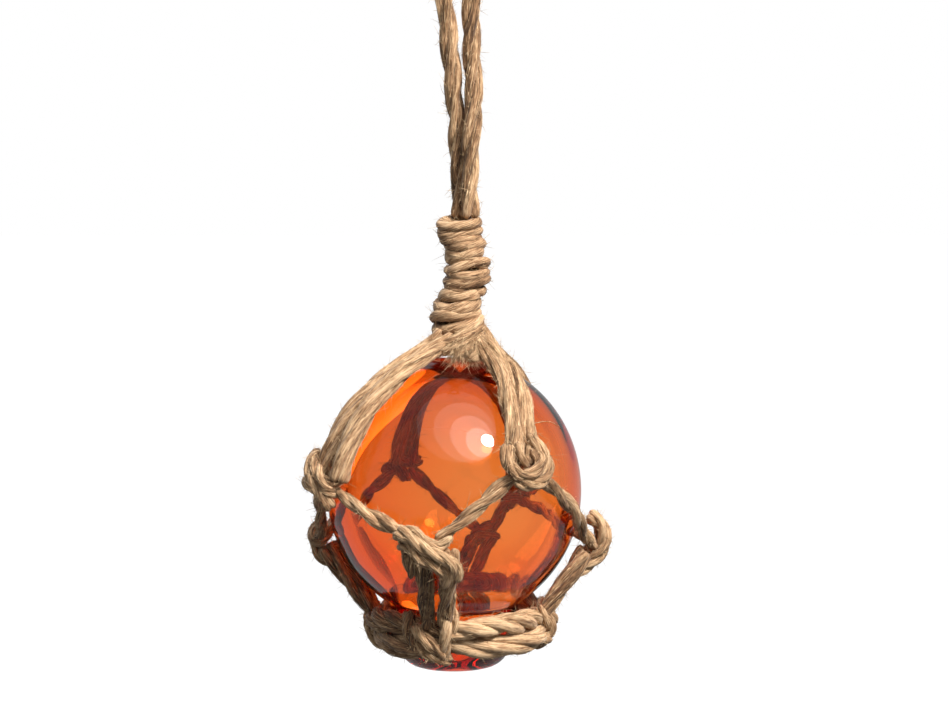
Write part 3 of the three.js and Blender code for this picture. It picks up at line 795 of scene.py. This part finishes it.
def make_jute(name):
    """Jute: streaks along the fibre from straw to brown, moved by each strand's tone, which on some pieces
    carries painted light and shade.
    """
    material, tree = new_material(name)
    link = tree.links.new
    uv = add(tree, "ShaderNodeUVMap", uv_map="fibre")
    heights = []
    for along, around, detail in STREAKS:
        stretch = add(tree, "ShaderNodeMapping")
        stretch.inputs["Scale"].default_value = (along, around, 1)
        noise = add(tree, "ShaderNodeTexNoise")
        noise.inputs["Scale"].default_value = 1
        noise.inputs["Detail"].default_value = detail
        noise.inputs["Roughness"].default_value = 0.62
        noise.inputs["Distortion"].default_value = 0.25
        link(uv.outputs[0], stretch.inputs["Vector"])
        link(stretch.outputs[0], noise.inputs["Vector"])
        heights.append(noise.outputs["Fac"])
    both = add(tree, "ShaderNodeMath", operation="ADD")
    link(heights[0], both.inputs[0])
    link(heights[1], both.inputs[1])
    tone = add(tree, "ShaderNodeAttribute", attribute_name="tone")
    place = add(tree, "ShaderNodeTexCoord")
    patches = add(tree, "ShaderNodeTexNoise")
    patches.inputs["Scale"].default_value = PATCH_SCALE
    patches.inputs["Detail"].default_value = 2
    link(place.outputs["Object"], patches.inputs["Vector"])
    patched = add(tree, "ShaderNodeMath", operation="MULTIPLY_ADD")
    patched.inputs[1].default_value = PATCH_CONTRAST
    link(patches.outputs["Fac"], patched.inputs[0])
    link(tone.outputs["Fac"], patched.inputs[2])
    total = add(tree, "ShaderNodeMath", operation="MULTIPLY_ADD")
    total.inputs[1].default_value = STREAK_CONTRAST
    link(both.outputs[0], total.inputs[0])
    link(patched.outputs[0], total.inputs[2])
    centred = add(tree, "ShaderNodeMath", operation="SUBTRACT")
    centred.inputs[1].default_value = STREAK_SHIFT
    link(total.outputs[0], centred.inputs[0])
    colours = add(tree, "ShaderNodeValToRGB")
    stops = colours.color_ramp.elements
    set_stop(stops[0], *JUTE_RAMP[0])
    set_stop(stops[1], *JUTE_RAMP[-1])
    for position, colour in JUTE_RAMP[1:-1]:
        stops.new(position).color = (*colour, 1)
    link(centred.outputs[0], colours.inputs["Fac"])
    bump = add(tree, "ShaderNodeBump")
    bump.inputs["Strength"].default_value = JUTE_BUMP_STRENGTH
    bump.inputs["Distance"].default_value = JUTE_BUMP_DISTANCE
    link(both.outputs[0], bump.inputs["Height"])
    shader = add(tree, "ShaderNodeBsdfPrincipled")
    shader.inputs["Roughness"].default_value = 0.72
    shader.inputs["Specular IOR Level"].default_value = 0.25
    shader.inputs["Sheen Weight"].default_value = 0.12
    shader.inputs["Sheen Roughness"].default_value = 0.5
    link(colours.outputs["Color"], shader.inputs["Base Color"])
    link(bump.outputs["Normal"], shader.inputs["Normal"])
    output = add(tree, "ShaderNodeOutputMaterial")
    link(shader.outputs["BSDF"], output.inputs["Surface"])
    return material


def make_hair(name):
    """Single fibres, lighter and darker from place to place."""
    material, tree = new_material(name)
    link = tree.links.new
    place = add(tree, "ShaderNodeTexCoord")
    noise = add(tree, "ShaderNodeTexNoise")
    noise.inputs["Scale"].default_value = HAIR_NOISE_SCALE
    link(place.outputs["Object"], noise.inputs["Vector"])
    colours = add(tree, "ShaderNodeValToRGB")
    stops = colours.color_ramp.elements
    set_stop(stops[0], *HAIR_DARK)
    set_stop(stops[1], *HAIR_LIGHT)
    link(noise.outputs["Fac"], colours.inputs["Fac"])
    shader = add(tree, "ShaderNodeBsdfPrincipled")
    shader.inputs["Roughness"].default_value = 0.55
    shader.inputs["Specular IOR Level"].default_value = 0.3
    link(colours.outputs["Color"], shader.inputs["Base Color"])
    output = add(tree, "ShaderNodeOutputMaterial")
    link(shader.outputs["BSDF"], output.inputs["Surface"])
    return material


def make_amber():
    """Clear amber glass, whose colour comes from how far light travels in it."""
    material, tree = new_material("amber_glass_clear")
    link = tree.links.new
    shader = add(tree, "ShaderNodeBsdfPrincipled")
    shader.inputs["Base Color"].default_value = (1, 1, 1, 1)
    shader.inputs["Roughness"].default_value = 0.0
    shader.inputs["IOR"].default_value = GLASS_IOR
    shader.inputs["Transmission Weight"].default_value = 1
    absorb = add(tree, "ShaderNodeVolumeAbsorption")
    absorb.inputs["Color"].default_value = GLASS_COLOUR
    absorb.inputs["Density"].default_value = GLASS_DENSITY
    output = add(tree, "ShaderNodeOutputMaterial")
    link(shader.outputs["BSDF"], output.inputs["Surface"])
    link(absorb.outputs["Volume"], output.inputs["Volume"])
    return material


def shell_of_revolution(reach_of, rows, segments, centre, inward):
    """The points, quads and end triangles of a closed shell, by its reach from a centre."""
    polar = np.linspace(0, 180, rows + 1)[1:-1]
    azimuth = np.linspace(0, 360, segments, endpoint=False)
    dirs = direction(*np.meshgrid(azimuth, polar))
    body = dirs * reach_of(dirs)[..., None]
    poles = direction(np.zeros(2), np.array([0, 180]))
    ends = poles * reach_of(poles)[..., None]
    points = np.vstack([body.reshape(-1, 3), ends]) + centre
    i, j = np.meshgrid(np.arange(rows - 2), np.arange(segments), indexing="ij")
    onward = (j + 1) % segments
    quads = np.stack([i * segments + j, (i + 1) * segments + j, (i + 1) * segments + onward,
                      i * segments + onward], axis=-1).reshape(-1, 4)
    j = np.arange(segments)
    top, last = len(points) - 2, (rows - 2) * segments
    caps = np.vstack([np.stack([np.full(segments, top), j, (j + 1) % segments], axis=1),
                      np.stack([np.full(segments, top + 1), last + (j + 1) % segments, last + j], axis=1)])
    if inward:
        quads, caps = quads[:, ::-1], caps[:, ::-1]
    return points, quads, caps


def waves(dirs, table):
    """The slow unevenness of a surface, in each direction."""
    return sum(height * np.sin(dirs @ np.array(turns) + phase) for height, turns, phase in table)


def outer_reach(dirs):
    """How far the outer surface reaches. Its waves die out towards the seal."""
    return glass_reach(dirs) + waves(dirs, OUTER_WAVES) * np.clip(dirs[..., 2] + 1.2, 0, 1)


def cavity_reach(dirs):
    """How far the cavity reaches, from its own centre, with its hollow in the seal."""
    from_below = np.degrees(np.arccos(np.clip(-dirs[..., 2], -1, 1)))
    hollow = SEAL_HOLLOW_DEPTH * np.exp(-((from_below / SEAL_HOLLOW_ANGLE) ** 2))
    return CAVITY_RADIUS + hollow + waves(dirs, CAVITY_WAVES)


def make_glass():
    """The ball's outer surface with its seal, and the cavity inside it, as one mesh."""
    points, quads, caps = shell_of_revolution(outer_reach, *OUTER_GRID, np.zeros(3), False)
    inner, inner_quads, inner_caps = shell_of_revolution(
        cavity_reach, *CAVITY_GRID, np.array(CAVITY_CENTRE), True)
    first = len(points)
    return make_mesh("glass_float", np.vstack([points, inner]),
                     [quads, inner_quads + first, caps, inner_caps + first], make_amber())


# ---- The making ----

def make_camera():
    """The camera, in front and looking a little down."""
    camera = bpy.data.cameras.new("camera")
    camera.lens = CAMERA_LENS
    camera.sensor_width = CAMERA_SENSOR
    camera.clip_start, camera.clip_end = CAMERA_CLIP
    holder = bpy.data.objects.new("camera", camera)
    holder.location = CAMERA_PLACE
    holder.rotation_euler = (math.radians(90 - CAMERA_PITCH), 0, 0)
    bpy.context.scene.collection.objects.link(holder)
    bpy.context.scene.camera = holder


def make_loop(material, hair):
    """The hanging loop, made as a cord of plied twine with its loose fibres."""
    route = np.array(LOOP_ROUTE) / MM + (0, 0, BALL_DROP)
    line = smooth(route, CORD_STEP)
    skein = Skein()
    lay_rope(skein, line, CORD_DIAMETER / MM / 2, 3, CORD_LAY)
    rope = finish_piece(skein.mesh("hanging_loop_twine", material), "jute_loop", "hanging_loop")
    fuzz = [finish_piece(piece, "jute_loop") for piece in grow_fuzz("hanging_loop", [skein], hair)]


def make_net(material, hair):
    """Legs, mesh, stems, ring, knots and whipping, and the loose fibres of each third of the net."""
    groups = {"top": [], "sides": [], "base": []}

    def keep(skein, node, group):
        finish_piece(skein.mesh(node + "_twine", material), "jute_net", node)
        groups[group].append(skein)

    for i, name in enumerate(UPPER_NAMES):
        upper = KNOTS["upper_knot_" + name]
        for letter, side in (("a", -1), ("b", 1)):
            skein = Skein()
            line, radius = leg_path(upper, LEGS[name], side)
            lay_rope(skein, line, radius, 4, LEG_LAY, LEG_TONES_WITH_PAINTED_LIGHT[name])
            keep(skein, f"leg_{name}_{letter}", "top")
            middle = KNOTS["middle_knot_" + MIDDLE_NAMES[(i + (side > 0)) % 4]]
            skein = Skein()
            start, end = upper.at(side * MESH_ASIDE[0], -1), middle.at(side * MESH_ASIDE[1], 1)
            lay_rope(skein, over_glass(start, end, MESH_RADIUS), MESH_RADIUS, 2, MESH_LAY)
            keep(skein, f"mesh_{name}_{letter}", "sides")
    for name in MIDDLE_NAMES:
        middle, below = KNOTS["middle_knot_" + name], KNOTS["ring_knot_" + name]
        between, spread = STEM_PARTING[name]
        for letter, side in (("a", -1), ("b", 1)):
            skein = Skein()
            start, end = middle.at(between + side * spread, -1), below.at(side * STEM_FOOT_ASIDE, 2)
            line = over_glass(start, end, STEM_RADIUS)
            radius = STEM_RADIUS - STEM_NARROWING * np.linspace(0, 1, len(line)) ** 3
            lay_rope(skein, line, radius, 3, STEM_LAY, STEM_PAINTED_SHADE[name])
            keep(skein, f"stem_{name}_{letter}", "sides")
    for i, name in enumerate(MIDDLE_NAMES):
        start, end = KNOTS["ring_knot_" + name], KNOTS["ring_knot_" + MIDDLE_NAMES[(i + 1) % 4]]
        for word, layer, plies, lay in RING_LAYERS:
            skein = Skein()
            line, radius = ring_path(start, end, layer)
            lay_rope(skein, line, radius, plies, lay, RING_PAINTED_LIGHT_AND_SHADE[name])
            keep(skein, f"ring_{name}_{word}", "base")
    for node, knot in KNOTS.items():
        skein = Skein()
        tie(skein, knot)
        keep(skein, node, "base" if node.startswith("ring") else "sides")
    skein = Skein()
    wind_whipping(skein)
    gather_bundle(skein)
    keep(skein, "neck_whipping", "top")
    finish_piece(grow_tuft(hair), "jute_net")
    for group, skeins in groups.items():
        for piece in grow_fuzz("net_" + group, skeins, hair):
            finish_piece(piece, "jute_net")


FLOOR_REACH = 6.0
FLOOR_HEIGHT = -0.42
FLOOR_GREY = (0.12, 0.12, 0.12, 1)
FLOOR_GLOW = 0.98


def make_stage():
    """A wide pale floor well below the float, which glows so as to match the room."""
    mesh = bpy.data.meshes.new("floor")
    corners = [(x * FLOOR_REACH, y * FLOOR_REACH, FLOOR_HEIGHT)
               for x, y in ((-1, -1), (1, -1), (1, 1), (-1, 1))]
    mesh.from_pydata(corners, [], [(0, 1, 2, 3)])
    floor = bpy.data.objects.new("floor", mesh)
    bpy.context.scene.collection.objects.link(floor)
    material, tree = new_material("pale_floor")
    shader = add(tree, "ShaderNodeBsdfPrincipled")
    shader.inputs["Base Color"].default_value = FLOOR_GREY
    shader.inputs["Roughness"].default_value = 1
    shader.inputs["Specular IOR Level"].default_value = 0
    shader.inputs["Emission Color"].default_value = (1, 1, 1, 1)
    shader.inputs["Emission Strength"].default_value = FLOOR_GLOW
    output = add(tree, "ShaderNodeOutputMaterial")
    tree.links.new(shader.outputs["BSDF"], output.inputs["Surface"])
    mesh.materials.append(material)
    floor.visible_diffuse = False
    floor.visible_glossy = False


LIGHT_AIM = (0, 0, -0.139)


def add_area(name, towards, distance, width, height, power, colour=(1, 1, 1)):
    """A soft oval light that faces the ball from a direction and a distance in metres."""
    light = bpy.data.lights.new(name, "AREA")
    light.shape = "ELLIPSE"
    light.size, light.size_y = width, height
    light.energy = power
    light.color = colour
    lamp = bpy.data.objects.new(name, light)
    away = Vector(towards).normalized()
    lamp.location = Vector(LIGHT_AIM) + away * distance
    lamp.rotation_euler = away.to_track_quat("Z", "Y").to_euler()
    bpy.context.scene.collection.objects.link(lamp)


# The soft window: directions, widths and powers of the layers that fade it out at its edges
WINDOWS = [
    ((0.36, -0.58, 0.68), 0.36, 1.3),
    ((0.26, -0.56, 0.74), 0.58, 2.0),
    ((0.16, -0.50, 0.80), 0.85, 2.2),
    ((0.04, -0.42, 0.86), 1.1, 2.0),
]
WINDOW_DISTANCE = 0.9
WINDOW_HEIGHT_SHARE = 1.15
WINDOW_COLOUR = (1, 0.98, 0.98)

# The key and the fill from behind: direction, distance, width, height and power
KEY = ((0.48, -0.52, 0.70), 1.3, 0.24, 0.24, 26)
KEY_COLOUR = (1, 0.95, 0.9)
BACK_FILL = ((-0.45, 0.8, 0.3), 1.2, 0.9, 0.9, 5)

# The room is white to look at. It is dim where it lights matt surfaces, and partly so in mirrorings
ROOM_WHITE = (1, 1, 1, 1)
ROOM_DIM = (0.95, 0.98, 1, 1)
ROOM_DIM_STRENGTH = 0.22
MIRRORED_DIMMING = 0.72


def make_light():
    """A key and a soft window from above right, a fill from behind and a bright room all round."""
    add_area("key", *KEY, KEY_COLOUR)
    for number, (towards, size, power) in enumerate(WINDOWS):
        add_area(f"window_{number}", towards, WINDOW_DISTANCE, size, size * WINDOW_HEIGHT_SHARE,
                 power, WINDOW_COLOUR)
    add_area("back_fill", *BACK_FILL)
    world = bpy.data.worlds.new("room")
    bpy.context.scene.world = world
    world.use_nodes = True
    tree = world.node_tree
    tree.nodes.clear()
    rays = add(tree, "ShaderNodeLightPath")
    bright = add(tree, "ShaderNodeBackground")
    bright.inputs["Color"].default_value = ROOM_WHITE
    bright.inputs["Strength"].default_value = 1.0
    dim = add(tree, "ShaderNodeBackground")
    dim.inputs["Color"].default_value = ROOM_DIM
    dim.inputs["Strength"].default_value = ROOM_DIM_STRENGTH
    mixed = add(tree, "ShaderNodeMixShader")
    output = add(tree, "ShaderNodeOutputWorld")
    mirrored = add(tree, "ShaderNodeMath", operation="GREATER_THAN")
    tree.links.new(rays.outputs["Is Glossy Ray"], mirrored.inputs[0])
    tree.links.new(rays.outputs["Is Transmission Ray"], mirrored.inputs[1])
    dimmed = add(tree, "ShaderNodeMath", operation="MULTIPLY_ADD")
    dimmed.inputs[1].default_value = MIRRORED_DIMMING
    dimmed.use_clamp = True
    tree.links.new(mirrored.outputs[0], dimmed.inputs[0])
    tree.links.new(rays.outputs["Is Diffuse Ray"], dimmed.inputs[2])
    tree.links.new(dimmed.outputs[0], mixed.inputs["Fac"])
    tree.links.new(bright.outputs[0], mixed.inputs[1])
    tree.links.new(dim.outputs[0], mixed.inputs[2])
    tree.links.new(mixed.outputs[0], output.inputs["Surface"])
    bpy.context.scene.view_settings.view_transform = "Standard"


make_camera()
jute = make_jute("jute_plied")
jute_hair = make_hair("jute_fibre")
make_loop(jute, jute_hair)
finish_piece(make_glass(), "amber_glass", "glass_ball")
make_net(jute, jute_hair)
make_stage()
make_light()
